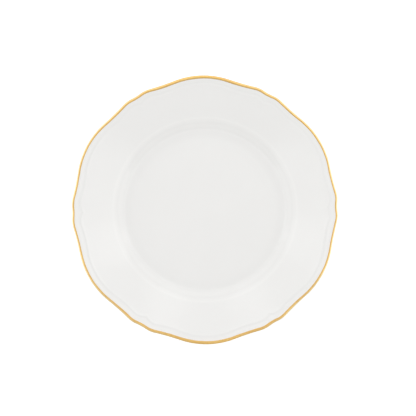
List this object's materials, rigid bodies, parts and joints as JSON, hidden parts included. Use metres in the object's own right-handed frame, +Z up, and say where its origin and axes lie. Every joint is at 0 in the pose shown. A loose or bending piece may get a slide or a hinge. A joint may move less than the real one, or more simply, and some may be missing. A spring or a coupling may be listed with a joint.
{
  "type": "dinner plate",
  "caption": "Round china dinner plate with a softly scalloped rim, a fine moulded line inside the edge, a gilded lip and a raised foot ring.",
  "frame": {"origin": "centre of the plane that the foot ring stands on", "axes": "+Z up, along the plate's axis of revolution, from the foot to the face; +X points through one of the notches in the edge, and +Y through the middle of a lobe"},
  "size_m": [0.264, 0.267, 0.022],
  "materials": {
    "porcelain": "fired, unglazed, matte and faintly rough",
    "glaze": "clear glossy glaze over white china",
    "foot_glaze": "clear glossy glaze over white china",
    "gold": "fired and burnished gold line"
  },
  "bodies": {
    "root": {"porcelain_body": "porcelain", "face_glaze": "glaze", "foot_recess_glaze": "foot_glaze", "gilded_edge": "gold"}
  },
  "joints": []
}
